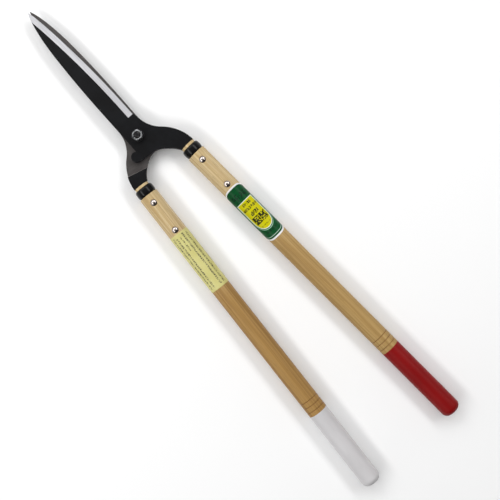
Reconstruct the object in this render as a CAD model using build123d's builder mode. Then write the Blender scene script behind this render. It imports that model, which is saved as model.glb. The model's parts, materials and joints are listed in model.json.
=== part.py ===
"""Hedge shears: two forged blades on one bolt, each driving a long turned wooden handle."""
import os
from math import asin, cos, radians, sin, sqrt

from build123d import *

# Blades
blade_reach = 206.0        # pivot to tip
blade_start = 25.0         # pivot to the start of the ground edge
blade_half_width = 15.2    # pivot line to the back of a blade
blade_thickness = 5.6
tip_thickness = 3.2
edge_land = 0.6            # height left at the cutting edge
bevel_width = 7.2
sliding_gap = 0.1          # between the two mating faces

# (share of the ground length, back half width, edge half width), widths as shares
blade_stations = [
    (0.00, 1.00, 0.85),
    (0.20, 1.01, 0.82),
    (0.40, 0.98, 0.73),
    (0.56, 0.91, 0.60),
    (0.70, 0.81, 0.45),
    (0.81, 0.66, 0.31),
    (0.90, 0.47, 0.17),
    (0.96, 0.29, 0.05),
    (1.00, 0.12, -0.06),
]

# Lug and arm
lug_radius = 7.0
lug_centre = (-19.0, -19.3)
crotch_depth = 28.4
shoulder_radius = 40.2     # the half-lap recess ends on this line
shoulder_turn = 15.4
arm_end = 49.4
arm_end_width = 19.8

# Pivot hardware, M8
bolt_radius = 4.0
turning_clearance = 0.05
hex_across_flats = 13.0
head_height = 5.5
nut_height = 6.5
washer_thickness = 1.6
washer_radius = 8.0
bolt_past_nut = 1.5
hex_turn = 48.0

# Handles
handle_radius = 12.7
handle_offset = 35.9       # handle axis to the pivot, sideways
handle_spread = 3.42       # degrees each handle leans outward
handle_end = 521.5
end_rounding = 7.5
end_dome = 1.0
neck_radius = 9.7
groove_stops = (389.0, 396.0, 403.0)
groove_depth = 0.7
coat_start = 408.4
coat_thickness = 0.3
seat_clearance = 0.05

# Ferrules
ferrule_start = 52.8
ferrule_end = 64.4
ferrule_radius = 12.3
ferrule_rounding = 3.0

# Tangs and rivets
tang_width = 11.0
tang_end_width = 8.0
tang_thickness = 5.0
tang_end = 130.0
rivet_stops = (76.7, 119.8)
rivet_radius = 2.25
rivet_head_radius = 4.2
rivet_head_height = 2.3
burr_thickness = 0.7

# Labels
label_thickness = 0.2
wrap_start = 126.4
wrap_end = 210.7
wrap_angle = 128.0
wrap_side_drop = 7.0
wrap_back_drop = 18.0
paper_start = 125.1
paper_end = 210.4
paper_angle = 115.0

# Heights tied to the stack on the bolt: the bolt head stands on z = 0
mid_z = blade_thickness + washer_thickness + head_height
mate_z = mid_z + sliding_gap / 2
plate_top = mid_z + blade_thickness
hole_radius = bolt_radius + turning_clearance
washer_gap = sliding_gap / 2
nut_washer_z = plate_top + washer_gap
nut_z = nut_washer_z + washer_thickness
seat_height = sqrt(handle_radius**2 - rivet_head_radius**2)
rivet_hole_radius = rivet_radius + seat_clearance
seat_radius = rivet_head_radius + seat_clearance


def handle_direction(side):
    return Vector(side * sin(radians(handle_spread)), -cos(radians(handle_spread)), 0)


def on_handle(side, along):
    start = Vector(side * handle_offset, 0, mid_z)
    return start + handle_direction(side) * along


def turning_plane(side):
    """Local x runs along the handle, local y is the distance from its axis, downward on the white side."""
    out = handle_direction(side)
    return Plane(origin=on_handle(side, 0), x_dir=out, z_dir=out.cross(Vector(0, 0, side)))


def cross_plane(side, along):
    """Across the handle: local x is sideways, local y is up."""
    out = handle_direction(side)
    return Plane(origin=on_handle(side, along), x_dir=Vector(0, 0, 1).cross(out) * -1, z_dir=out * -1)


def turning_axis(side):
    return Axis(on_handle(side, 0), handle_direction(side))


def heel_plan(height, arm_only):
    """Plan of the flat heel, the lug and the arm, drawn for the blade with its handle at +X."""
    width = blade_half_width
    side = Vector(cos(radians(handle_spread)), sin(radians(handle_spread)), 0) * (arm_end_width / 2)
    middle = on_handle(1, arm_end)
    outer = (middle.X + side.X, middle.Y + side.Y)
    inner = (middle.X - side.X, middle.Y - side.Y)
    with BuildSketch(Plane.XY.offset(height)) as plan:
        with BuildLine():
            Line((-width, blade_start), (-width, lug_centre[1]))
            Line((-width, lug_centre[1]), (lug_centre[0], lug_centre[1] - lug_radius))
            Line((lug_centre[0], lug_centre[1] - lug_radius), (-2.0, -crotch_depth))
            ThreePointArc((-2.0, -crotch_depth), (7.6, -crotch_depth - 2.1), (16.2, -crotch_depth - 7.8))
            ThreePointArc((16.2, -crotch_depth - 7.8), (inner[0] - 5.4, inner[1] + 7.4), inner)
            Line(inner, outer)
            ThreePointArc(outer, (outer[0] - 5.9, outer[1] + 20.4), (2 * width, -12.0))
            ThreePointArc((2 * width, -12.0), (width + 8.6, -5.0), (width + 3.7, 3.0))
            ThreePointArc((width + 3.7, 3.0), (width + 0.9, 11.4), (width, 19.5))
            Line((width, 19.5), (width - 0.4, blade_start))
            Line((width - 0.4, blade_start), (-width, blade_start))
        make_face()
        if arm_only:
            turn = radians(shoulder_turn)
            reach = shoulder_radius + 50.0
            with Locations(Location((reach * sin(turn), -reach * cos(turn)), shoulder_turn)):
                Rectangle(120.0, 100.0, mode=Mode.INTERSECT)
        else:
            with Locations(lug_centre):
                Circle(lug_radius)
    return plan.sketch


def blade_section(share, back, edge):
    """Five-sided section: flat mating face, back, sloping ground bevel."""
    along = blade_start + share * (blade_reach - blade_start)
    thickness = blade_thickness + share * (tip_thickness - blade_thickness)
    back_x = -back * blade_half_width
    edge_x = edge * blade_half_width
    slope = (thickness - edge_land) / bevel_width
    crest_x = max(edge_x - bevel_width, back_x + 0.3)
    crest_z = mid_z + edge_land + slope * (edge_x - crest_x)
    plane = Plane(origin=(0, along, 0), x_dir=(1, 0, 0), z_dir=(0, -1, 0))
    with BuildSketch(plane) as section:
        with BuildLine():
            Polyline(
                (back_x, mate_z),
                (edge_x, mate_z),
                (edge_x, mid_z + edge_land),
                (crest_x, crest_z),
                (back_x, crest_z),
                close=True,
            )
        make_face()
    return section.sketch


def rounded_profile(side, radius, start, end):
    """Half section of a turned bar with a rounded, slightly domed end."""
    rounding = end_rounding
    with BuildSketch(turning_plane(side)) as profile:
        with BuildLine():
            Line((start, 0), (start, radius))
            Line((start, radius), (end - rounding, radius))
            ThreePointArc(
                (end - rounding, radius),
                (end - rounding * 0.293, radius - rounding * 0.293),
                (end, radius - rounding),
            )
            Line((end, radius - rounding), (end + end_dome, 0))
            Line((end + end_dome, 0), (start, 0))
        make_face()
    return profile.sketch


def handle_profile(side):
    """Half section of the wood: neck, grip with its grooves, and the core under the coat."""
    core = handle_radius - coat_thickness - seat_clearance
    end = handle_end - coat_thickness - seat_clearance
    rounding = end_rounding
    floor = handle_radius - groove_depth
    points = [(arm_end, 0), (arm_end, neck_radius - 0.5), (arm_end + 0.5, neck_radius)]
    points += [(ferrule_end, neck_radius), (ferrule_end, handle_radius - 0.6)]
    points += [(ferrule_end + 0.6, handle_radius)]
    for stop in groove_stops:
        points += [(stop - groove_depth, handle_radius), (stop - 0.2, floor)]
        points += [(stop + 0.2, floor), (stop + groove_depth, handle_radius)]
    points += [(coat_start, handle_radius), (coat_start, core), (end - rounding, core)]
    with BuildSketch(turning_plane(side)) as profile:
        with BuildLine():
            Polyline(*points)
            ThreePointArc(
                (end - rounding, core),
                (end - rounding * 0.293, core - rounding * 0.293),
                (end, core - rounding),
            )
            Polyline((end, core - rounding), (end + end_dome, 0), (arm_end, 0))
        make_face()
    return profile.sketch


def tang_section(side, along, width, spare):
    with BuildSketch(cross_plane(side, along)) as section:
        Rectangle(width + 2 * spare, tang_thickness + 2 * spare)
    return section.sketch


def hexagon(bottom):
    with BuildSketch(Plane.XY.offset(bottom)) as shape:
        RegularPolygon(hex_across_flats / 2, 6, major_radius=False, rotation=hex_turn)
    return shape.sketch


def blade():
    sections = [blade_section(*station) for station in blade_stations]
    heel = heel_plan(mate_z, False)
    arm = heel_plan(mid_z - blade_thickness, True)
    tang = [tang_section(1, arm_end - 0.5, tang_width, 0), tang_section(1, tang_end, tang_end_width, 0)]
    with BuildPart() as built:
        loft(sections, ruled=True)
        extrude(heel, amount=plate_top - mate_z)
        extrude(arm, amount=blade_thickness + sliding_gap)
        loft(tang)
        with Locations((0, 0, mid_z)):
            Cylinder(hole_radius, 3 * blade_thickness, mode=Mode.SUBTRACT)
        for stop in rivet_stops:
            with Locations(on_handle(1, stop)):
                Cylinder(rivet_hole_radius, 3 * tang_thickness, mode=Mode.SUBTRACT)
    return built


def flipped(original):
    """The same forging turned over about the long axis of the tool."""
    with BuildPart() as built:
        add(original.part.rotate(Axis((0, 0, mid_z), (0, 1, 0)), 180))
    return built


def handle(side):
    slot = [
        tang_section(side, arm_end - 1.0, tang_width + 0.02, seat_clearance),
        tang_section(side, tang_end + 2.0, tang_end_width, seat_clearance),
    ]
    with BuildPart() as built:
        revolve(handle_profile(side), axis=turning_axis(side))
        loft(slot, mode=Mode.SUBTRACT)
        for stop in rivet_stops:
            with Locations(on_handle(side, stop)):
                Cylinder(rivet_hole_radius, 3 * handle_radius, mode=Mode.SUBTRACT)
            for depth in (seat_height + 5.0, -seat_height - 5.0):
                with Locations(on_handle(side, stop) + Vector(0, 0, depth)):
                    Cylinder(seat_radius, 10.0, mode=Mode.SUBTRACT)
    return built


def coat(side):
    inside = handle_radius - coat_thickness
    inside_end = handle_end - coat_thickness
    axis = turning_axis(side)
    with BuildPart() as built:
        revolve(rounded_profile(side, handle_radius, coat_start, handle_end), axis=axis)
        revolve(
            rounded_profile(side, inside, coat_start - 1.0, inside_end),
            axis=axis,
            mode=Mode.SUBTRACT,
        )
    return built


def ferrule(side):
    with BuildPart() as built:
        with BuildSketch(turning_plane(side)):
            with BuildLine():
                inner = neck_radius + seat_clearance
                low = ferrule_radius - 0.7
                Line((ferrule_start, inner), (ferrule_start, low - 1.0))
                ThreePointArc(
                    (ferrule_start, low - 1.0),
                    (ferrule_start + 0.6, low - 0.1),
                    (ferrule_start + ferrule_rounding, ferrule_radius - 0.1),
                )
                ThreePointArc(
                    (ferrule_start + ferrule_rounding, ferrule_radius - 0.1),
                    ((ferrule_start + ferrule_end) / 2, ferrule_radius),
                    (ferrule_end - ferrule_rounding, ferrule_radius - 0.1),
                )
                ThreePointArc(
                    (ferrule_end - ferrule_rounding, ferrule_radius - 0.1),
                    (ferrule_end - 0.6, low - 0.1),
                    (ferrule_end, low - 1.0),
                )
                Line((ferrule_end, low - 1.0), (ferrule_end, inner))
                Line((ferrule_end, inner), (ferrule_start, inner))
            make_face()
        revolve(axis=turning_axis(side))
    return built


def rivet(side, stop):
    place = on_handle(side, stop)
    rim = seat_height + 0.5
    top = seat_height + rivet_head_height
    bottom = -seat_height - burr_thickness
    dome = (rivet_head_radius**2 + (top - rim) ** 2) / (2 * (top - rim))
    half = asin(rivet_head_radius / dome) / 2
    with BuildPart() as built:
        with BuildSketch(Plane(origin=place, x_dir=(1, 0, 0), z_dir=(0, -1, 0))):
            with BuildLine():
                Line((0, bottom), (rivet_radius, bottom))
                Line((rivet_radius, bottom), (rivet_radius, seat_height))
                Line((rivet_radius, seat_height), (rivet_head_radius, seat_height))
                Line((rivet_head_radius, seat_height), (rivet_head_radius, rim))
                ThreePointArc(
                    (rivet_head_radius, rim),
                    (dome * sin(half), top - dome + dome * cos(half)),
                    (0, top),
                )
                Line((0, top), (0, bottom))
            make_face()
        revolve(axis=Axis(place, (0, 0, 1)))
    return built


def burr(side, stop):
    with BuildPart() as built:
        low = on_handle(side, stop) - Vector(0, 0, seat_height + burr_thickness)
        with BuildSketch(Plane(origin=low, x_dir=(1, 0, 0), z_dir=(0, 0, 1))):
            Circle(rivet_head_radius)
            Circle(rivet_hole_radius, mode=Mode.SUBTRACT)
        extrude(amount=burr_thickness)
    return built


def label_section(side, end, half_angle):
    """Thin arc across the handle, open at the underside."""
    inside = handle_radius + seat_clearance
    outside = inside + label_thickness
    turn = radians(half_angle)
    outer_edge = (outside * sin(turn), outside * cos(turn))
    inner_edge = (inside * sin(turn), inside * cos(turn))
    with BuildSketch(cross_plane(side, end)) as section:
        with BuildLine():
            ThreePointArc(outer_edge, (0, outside), (-outer_edge[0], outer_edge[1]))
            Line((-outer_edge[0], outer_edge[1]), (-inner_edge[0], inner_edge[1]))
            ThreePointArc((-inner_edge[0], inner_edge[1]), (0, inside), inner_edge)
            Line(inner_edge, outer_edge)
        make_face()
    return section.sketch


def beyond_wrap_end(side, stop, way):
    """Area beyond the rounded end of the wrap label, way +1 towards the handle end."""
    high = handle_radius + 2.0
    low = handle_radius * cos(radians(wrap_angle)) - 1.0
    beyond = stop + way * 5.0
    with BuildSketch(turning_plane(side)) as area:
        with BuildLine():
            ThreePointArc(
                (stop, high),
                (stop - way * wrap_side_drop, 0),
                (stop - way * wrap_back_drop, low),
            )
            Line((stop - way * wrap_back_drop, low), (beyond, low))
            Line((beyond, low), (beyond, high))
            Line((beyond, high), (stop, high))
        make_face()
    return area.sketch


upper_blade = blade()
lower_blade = flipped(upper_blade)

with BuildPart() as pivot_bolt:
    extrude(hexagon(0), amount=head_height)
    with BuildSketch(Plane.XZ):
        with BuildLine():
            Polyline((0, 0), (6.3, 0), (7.6, 0.8), (7.6, head_height), (0, head_height), close=True)
        make_face()
    revolve(axis=Axis.Z, mode=Mode.INTERSECT)
    with BuildSketch(Plane.XY.offset(head_height - 0.5)):
        Circle(bolt_radius)
    extrude(amount=nut_z + nut_height + bolt_past_nut - head_height + 0.5)
    chamfer(pivot_bolt.faces().sort_by(Axis.Z)[-1].edges(), length=0.9)

with BuildPart() as pivot_nut:
    extrude(hexagon(nut_z), amount=nut_height)
    with BuildSketch(Plane.XZ):
        with BuildLine():
            Polyline(
                (bolt_radius + seat_clearance, nut_z),
                (6.5, nut_z),
                (7.6, nut_z + 0.7),
                (7.6, nut_z + nut_height - 0.9),
                (5.9, nut_z + nut_height),
                (bolt_radius + 0.6, nut_z + nut_height),
                (bolt_radius + seat_clearance, nut_z + nut_height - 0.6),
                close=True,
            )
        make_face()
    revolve(axis=Axis.Z, mode=Mode.INTERSECT)

with BuildPart() as nut_washer:
    with BuildSketch(Plane.XY.offset(nut_washer_z)):
        Circle(washer_radius)
        Circle(bolt_radius + seat_clearance, mode=Mode.SUBTRACT)
    extrude(amount=washer_thickness)

with BuildPart() as head_washer:
    with BuildSketch(Plane.XY.offset(head_height)):
        Circle(washer_radius)
        Circle(bolt_radius + seat_clearance, mode=Mode.SUBTRACT)
    extrude(amount=washer_thickness)

with BuildPart() as wrap_label:
    extrude(label_section(1, wrap_end, wrap_angle), amount=wrap_end - wrap_start)
    for stop, way in ((wrap_start, -1), (wrap_end, 1)):
        extrude(
            beyond_wrap_end(1, stop, way),
            amount=2 * handle_radius,
            both=True,
            mode=Mode.SUBTRACT,
        )

with BuildPart() as paper_label:
    extrude(label_section(-1, paper_end, paper_angle), amount=paper_end - paper_start)

pieces = {
    "upper_blade": upper_blade,
    "lower_blade": lower_blade,
    "pivot_bolt": pivot_bolt,
    "pivot_nut": pivot_nut,
    "nut_washer": nut_washer,
    "head_washer": head_washer,
    "wrap_label": wrap_label,
    "paper_label": paper_label,
}
for colour, side in (("red", 1), ("white", -1)):
    pieces[colour + "_handle"] = handle(side)
    pieces[colour + "_coat"] = coat(side)
    pieces[colour + "_ferrule"] = ferrule(side)
    for place, stop in zip(("front", "rear"), rivet_stops):
        pieces[colour + "_rivet_" + place] = rivet(side, stop)
        pieces[colour + "_burr_" + place] = burr(side, stop)

os.makedirs("parts", exist_ok=True)
for name, piece in pieces.items():
    piece.part.label = name
    export_step(piece.part, "parts/" + name + ".step")
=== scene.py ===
"""The looks of the hedge shears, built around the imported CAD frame.

Shapes are in millimetres until make_piece turns them into metres."""
import json
import math

import bpy
import numpy as np
from mathutils import Matrix, Vector
from mathutils.geometry import delaunay_2d_cdt


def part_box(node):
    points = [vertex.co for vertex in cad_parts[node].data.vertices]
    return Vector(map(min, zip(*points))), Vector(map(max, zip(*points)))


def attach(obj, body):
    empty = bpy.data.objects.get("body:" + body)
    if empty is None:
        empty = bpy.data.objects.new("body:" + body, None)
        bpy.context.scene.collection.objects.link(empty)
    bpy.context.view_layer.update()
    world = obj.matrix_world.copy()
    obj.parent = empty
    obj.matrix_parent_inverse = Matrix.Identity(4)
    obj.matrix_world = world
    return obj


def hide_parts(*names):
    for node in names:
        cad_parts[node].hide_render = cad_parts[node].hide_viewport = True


MM = 0.001
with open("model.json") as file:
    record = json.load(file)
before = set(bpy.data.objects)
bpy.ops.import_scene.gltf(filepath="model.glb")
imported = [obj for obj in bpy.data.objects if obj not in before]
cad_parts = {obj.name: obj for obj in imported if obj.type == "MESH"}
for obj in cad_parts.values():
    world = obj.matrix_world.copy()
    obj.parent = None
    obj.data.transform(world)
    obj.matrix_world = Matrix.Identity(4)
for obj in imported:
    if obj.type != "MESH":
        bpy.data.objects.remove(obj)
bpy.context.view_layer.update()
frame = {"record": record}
mounts = {m["name"]: m for m in frame["record"]["mounts"]}


def heights(node):
    """Lowest and highest height of a node, in millimetres."""
    low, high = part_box(node)
    return low.z / MM, high.z / MM


# Heights of the stack on the bolt, from the frame
head_top, head_washer_top = heights("head_washer")
washer_low, washer_high = heights("nut_washer")
nut_low, nut_high = heights("pivot_nut")
bolt_top = heights("pivot_bolt")[1]
plate_top = heights("upper_blade")[1]
mid_z = sum(heights("red_ferrule")) / 2
plate_thickness = plate_top - mid_z
sliding_gap = 0.1
mate_z = mid_z + sliding_gap / 2
tip_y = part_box("upper_blade")[1].y / MM

# Blades
half_width = 15.2
blade_start = 25.0
bevel_cut = 24.2           # the ground bevel drops away between these two
bevel_start = 25.0
bevel_width = 7.2
edge_land = 0.6
tip_thickness = 3.2
shares = np.array([0.0, 0.2, 0.4, 0.56, 0.7, 0.81, 0.9, 0.96, 1.0])
back_shares = np.array([1.0, 1.01, 0.98, 0.91, 0.81, 0.66, 0.47, 0.29, 0.12])
edge_shares = np.array([0.85, 0.82, 0.73, 0.60, 0.45, 0.31, 0.17, 0.05, -0.06])
lug_centre = (-19.0, -19.3)
lug_radius = 7.0
crotch = 28.4
shoulder_radius = 40.25
shoulder_turn = math.radians(15.4)
shoulder_slope = 1.3
arm_end = 49.4
arm_half_width = 9.9
crotch_arc = ((-2.0, 0.0), (7.6, -2.1), (16.2, -7.8))     # across, and from the crotch's depth
arm_inner_bulge = (-5.4, 7.4)                             # from the arm's inner corner
arm_outer_bulge = (-5.9, 20.4)                            # from its outer corner
# The heel's curve, across from the half width, and along
heel_arcs = ((half_width, -12.0), (8.6, -5.0), (3.7, 3.0), (0.9, 11.4), (0.0, 19.5))
hole_radius = 4.05
top_rounding = 0.5
bottom_rounding = 0.3
edge_rounding = (0.14, 0.12)        # top and bottom of the cutting edge
# The tang's distance along the handle, half width and half thickness
tang_sections = ((arm_end - 0.8, 5.5, 2.5), (arm_end + 30.0, 4.9, 2.5), (100.0, 4.5, 2.5))
tang_sections += ((128.5, 4.0, 2.5), (130.0, 3.2, 1.8))
top_hollow = 0.22
sliding_hollow = 0.25
grid_step = 2.6            # between points inside a face
closest_points = 0.12      # along the outline

# Pivot hardware
hex_half_flats = 6.5
hex_turn = math.radians(78.0)
hex_corner = 8.0           # further out than the hexagon, which cuts it back
shank_radius = 4.0
bore_radius = 4.06
washer_radius = 8.0
washer_rounding = 0.35
thread_pitch = 1.25
thread_depth = 0.6

# Handles, distances along the handle's axis
grip_radius = 12.7
neck_radius = 9.7
ferrule_start = 52.8
ferrule_end = 64.4
ferrule_radius = 12.3
grooves = (389.0, 396.0, 403.0)
coat_start = 408.4
handle_end = 521.5
end_rounding = 7.5
end_dome = 1.0
rivets = (76.7, 119.8)
seat_height = 11.99
rivet_head_radius = 4.2
rivet_head_height = 2.3
rivet_radius = 2.25
burr_thickness = 0.7
burr_rounding = 0.25
neck_ease = 0.45           # rounding of the wood's front end
coat_skin = 0.3
core_gap = 0.05            # between the dip coat and the wood inside it
wrap_start = 126.4
wrap_end = 210.7
wrap_angle = math.radians(128.0)
paper_start = 125.1
paper_end = 210.4
paper_angle = math.radians(115.0)
label_inside = 12.75
label_outside = 12.95


def linear(red, green, blue):
    """A display colour, 0 to 255, as the linear colour a shader takes."""
    values = [c / 255 for c in (red, green, blue)]
    return tuple(c / 12.92 if c <= 0.04045 else ((c + 0.055) / 1.055) ** 2.4 for c in values) + (1.0,)


# ---- materials

class Graph:
    """Short calls that build one material's nodes."""

    def __init__(self, name):
        self.material = bpy.data.materials.new(name)
        self.material.use_nodes = True
        self.tree = self.material.node_tree
        self.tree.nodes.clear()
        self.shader = self.node("ShaderNodeBsdfPrincipled")
        output = self.node("ShaderNodeOutputMaterial")
        self.tree.links.new(self.shader.outputs[0], output.inputs["Surface"])
        self.place = self.node("ShaderNodeTexCoord").outputs["Object"]

    def node(self, kind):
        return self.tree.nodes.new(kind)

    def put(self, socket, value):
        if isinstance(value, bpy.types.NodeSocket):
            self.tree.links.new(value, socket)
        else:
            socket.default_value = value

    def set(self, **values):
        for name, value in values.items():
            self.put(self.shader.inputs[name.replace("_", " ")], value)

    def math(self, operation, a, b=0.0):
        node = self.node("ShaderNodeMath")
        node.operation = operation
        self.put(node.inputs[0], a)
        self.put(node.inputs[1], b)
        return node.outputs[0]

    def times(self, a, b):
        return self.math("MULTIPLY", a, b)

    def plus(self, a, b):
        return self.math("ADD", a, b)

    def minus(self, a, b):
        return self.math("SUBTRACT", a, b)

    def over(self, a, b):
        return self.math("DIVIDE", a, b)

    def all_of(self, *masks):
        result = masks[0]
        for mask in masks[1:]:
            result = self.times(result, mask)
        return result

    def any_of(self, *masks):
        result = masks[0]
        for mask in masks[1:]:
            result = self.math("MAXIMUM", result, mask)
        return result

    def rise(self, value, low, high, start=0.0, end=1.0):
        """Smooth change from start to end as value goes from low to high."""
        node = self.node("ShaderNodeMapRange")
        node.interpolation_type = "SMOOTHSTEP"
        for name, number in (("From Min", low), ("From Max", high), ("To Min", start), ("To Max", end)):
            node.inputs[name].default_value = number
        self.put(node.inputs["Value"], value)
        return node.outputs[0]

    def noise(self, scale, detail, roughness, distortion=0.0, at=None):
        """Noise over the piece. Three scales stretch it along the axes."""
        if isinstance(scale, tuple):
            stretch = self.node("ShaderNodeVectorMath")
            stretch.operation = "MULTIPLY"
            self.put(stretch.inputs[0], self.place)
            stretch.inputs[1].default_value = scale
            at, scale = stretch.outputs[0], 1.0
        node = self.node("ShaderNodeTexNoise")
        self.put(node.inputs["Vector"], at or self.place)
        settings = ("Scale", "Detail", "Roughness", "Distortion")
        for name, number in zip(settings, (scale, detail, roughness, distortion)):
            node.inputs[name].default_value = number
        return node.outputs["Fac"]

    def split(self, vector):
        node = self.node("ShaderNodeSeparateXYZ")
        self.put(node.inputs[0], vector)
        return node.outputs[:3]

    def joined(self, x, y, z=0.0):
        node = self.node("ShaderNodeCombineXYZ")
        for socket, value in zip(node.inputs, (x, y, z)):
            self.put(socket, value)
        return node.outputs[0]

    def mix(self, share, first, second):
        """From first to second. Three numbers are a display colour, four a linear one."""
        node = self.node("ShaderNodeMix")
        node.data_type = "RGBA"
        self.put(node.inputs[0], share)
        for socket, colour in ((node.inputs[6], first), (node.inputs[7], second)):
            shown = isinstance(colour, tuple) and len(colour) == 3
            self.put(socket, linear(*colour) if shown else colour)
        return node.outputs[2]

    def attribute(self, name):
        node = self.node("ShaderNodeAttribute")
        node.attribute_name = name
        return node.outputs["Fac"]

    def coordinates(self, layer):
        """Both values of a UV layer, which here holds millimetres."""
        node = self.node("ShaderNodeUVMap")
        node.uv_map = layer
        return self.split(node.outputs[0])[:2]

    def rough(self, pattern, low, high):
        """Roughness between low and high, by the pattern."""
        self.set(Roughness=self.rise(pattern, 0.3, 0.7, low, high))

    def bump(self, height, depth, strength):
        """Relief of that depth in millimetres."""
        node = self.node("ShaderNodeBump")
        node.inputs["Distance"].default_value = depth * MM
        node.inputs["Strength"].default_value = strength
        self.put(node.inputs["Height"], height)
        self.put(self.shader.inputs["Normal"], node.outputs[0])


def black_oxide():
    g = Graph("black_oxide")
    cloud = g.noise(45, 5, 0.6)
    scale = g.noise(900, 4, 0.6)
    colour = g.mix(g.rise(cloud, 0.35, 0.7), (6, 6, 8), (13, 14, 17))
    rub = g.times(g.attribute("wear"), g.rise(g.noise(160, 4, 0.6), 0.42, 0.72))
    colour = g.mix(g.times(rub, 0.7), colour, (84, 82, 82))
    g.set(Base_Color=colour, Specular_IOR_Level=0.15)
    g.rough(g.noise(260, 4, 0.6), 0.40, 0.56)
    g.bump(scale, 0.05, 0.5)
    return g.material


def ground_edge():
    """Freshly ground steel, its scratches along the blade."""
    g = Graph("ground_edge")
    lines = g.noise((2600, 22, 2600), 4, 0.65)
    bands = g.noise((700, 5, 700), 3, 0.5)
    colour = g.mix(g.rise(bands, 0.3, 0.7), (184, 184, 187), (203, 203, 206))
    g.set(Base_Color=colour, Metallic=0.5)
    g.rough(lines, 0.52, 0.66)
    g.bump(lines, 0.02, 0.5)
    return g.material


def ground_flat(name, clean, stained, scratch):
    """The sliding face: worn, oiled and darker, its scratches across the blade."""
    g = Graph(name)
    lines = g.noise((40, 1900, 1900), 4, 0.65)
    stain = g.noise(55, 4, 0.6)
    colour = g.mix(g.rise(stain, 0.35, 0.7), clean, stained)
    colour = g.mix(g.rise(lines, 0.3, 0.75, 0, 0.5), colour, scratch)
    g.set(Base_Color=colour, Metallic=0.5)
    g.rough(lines, 0.38, 0.55)
    g.bump(lines, 0.015, 0.5)
    return g.material


def nut_steel():
    g = Graph("nut_steel")
    smear = g.noise(300, 4, 0.7, 0.8)
    fine = g.noise(2600, 3, 0.6)
    worn = g.rise(g.plus(g.times(g.attribute("wear"), 0.24), smear), 0.56, 0.86)
    colour = g.mix(worn, (34, 36, 39), (182, 184, 186))
    g.set(Base_Color=colour, Metallic=0.9)
    g.rough(fine, 0.26, 0.44)
    g.bump(fine, 0.02, 0.4)
    return g.material


def bolt_steel():
    g = Graph("bolt_steel")
    smear = g.noise(380, 4, 0.6)
    fine = g.noise(2200, 3, 0.6)
    rub = g.times(g.attribute("wear"), g.rise(smear, 0.4, 0.7))
    colour = g.mix(g.rise(smear, 0.3, 0.7), (16, 16, 18), (28, 28, 31))
    colour = g.mix(g.times(rub, 0.5), colour, (110, 109, 108))
    g.set(Base_Color=colour, Metallic=0.3, Specular_IOR_Level=0.25)
    g.rough(fine, 0.3, 0.48)
    g.bump(fine, 0.02, 0.4)
    return g.material


def wood(name, seed, heart, brown):
    """Straight-grained oak, lighter towards the ferrule with a painted sheen. heart is where the growth
    rings centre, across and up, in metres.

    brown holds the light, dark, shaded and gleaming colours of the wood beyond the labels; towards the
    ferrule they give way to lighter colours, a painted sheen."""
    g = Graph(name)
    x, y, z = g.split(g.place)
    wander = g.noise(1, 3, 0.5, at=g.joined(seed, g.times(z, 4), 0))
    drift = g.times(g.minus(wander, 0.5), 0.012)
    dx = g.plus(g.minus(x, heart[0]), drift)
    dy = g.minus(g.minus(y, heart[1]), g.times(z, 0.012))
    far = g.math("SQRT", g.plus(g.times(dx, dx), g.times(dy, dy)))
    wavy = g.noise((60, 60, 3), 3, 0.5)
    rings = g.plus(g.times(far, 240), g.times(wavy, 2.4))
    ring = g.math("FRACT", g.plus(rings, seed))
    late = g.times(g.rise(ring, 0.35, 0.92), g.rise(ring, 1, 0.93))
    fibre = g.noise((1100, 1100, 9), 4, 0.6)
    flow = g.plus(g.times(z, 5), seed)
    streak = g.noise(1, 4, 0.55, at=g.joined(g.times(x, 330), g.times(y, 330), flow))
    pores = g.noise((2400, 2400, 60), 2, 0.5)
    pore = g.times(g.rise(pores, 0.60, 0.70), g.rise(ring, 0.55, 0.1, 0.25, 1))
    # Painted sheen: from the labels towards the ferrule the wood is painted lighter, as where light gleams
    # on it.
    sheen_fade = g.rise(g.plus(z, g.times(streak, 0.05)), 0.13, 0.26)
    sheen_colours = ((206, 184, 140), (182, 155, 106), (172, 142, 92), (220, 202, 168))
    light, dark, shade, gleam = [g.mix(sheen_fade, with_sheen, without_sheen) for with_sheen, without_sheen in zip(sheen_colours, brown)]
    colour = g.mix(g.times(late, 0.6), light, dark)
    colour = g.mix(g.rise(streak, 0.45, 0.68, 0, 0.6), colour, shade)
    colour = g.mix(g.rise(streak, 0.45, 0.3, 0, 0.55), colour, gleam)
    colour = g.mix(g.rise(fibre, 0.45, 0.75, 0, 0.5), colour, (136, 102, 58))
    colour = g.mix(g.times(pore, 0.55), colour, (104, 74, 42))
    # Darker in the grooves.
    colour = g.mix(g.times(g.attribute("groove"), 0.6), colour, (122, 84, 46))
    g.set(Base_Color=colour, Specular_IOR_Level=0.25)
    g.rough(fibre, 0.44, 0.6)
    relief = g.minus(g.times(fibre, 0.6), pore)
    g.bump(relief, 0.05, 0.5)
    return g.material


def ferrule_black():
    g = Graph("ferrule_black")
    cloud = g.noise(300, 4, 0.6)
    rub = g.times(g.attribute("wear"), g.rise(g.noise(500, 3, 0.6), 0.5, 0.75))
    colour = g.mix(cloud, (8, 8, 9), (14, 14, 15))
    g.set(Base_Color=g.mix(g.times(rub, 0.35), colour, (90, 88, 88)), Specular_IOR_Level=0.17)
    g.rough(cloud, 0.15, 0.22)
    g.bump(g.noise(700, 3, 0.5), 0.03, 0.35)
    return g.material


def rivet_nickel():
    g = Graph("rivet_nickel")
    fine = g.noise(1800, 4, 0.6)
    stain = g.noise(380, 3, 0.6)
    colour = g.mix(g.rise(stain, 0.35, 0.75), (198, 188, 182), (118, 108, 102))
    g.set(Base_Color=colour, Metallic=1)
    g.rough(fine, 0.14, 0.26)
    g.bump(fine, 0.01, 0.4)
    return g.material


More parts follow.
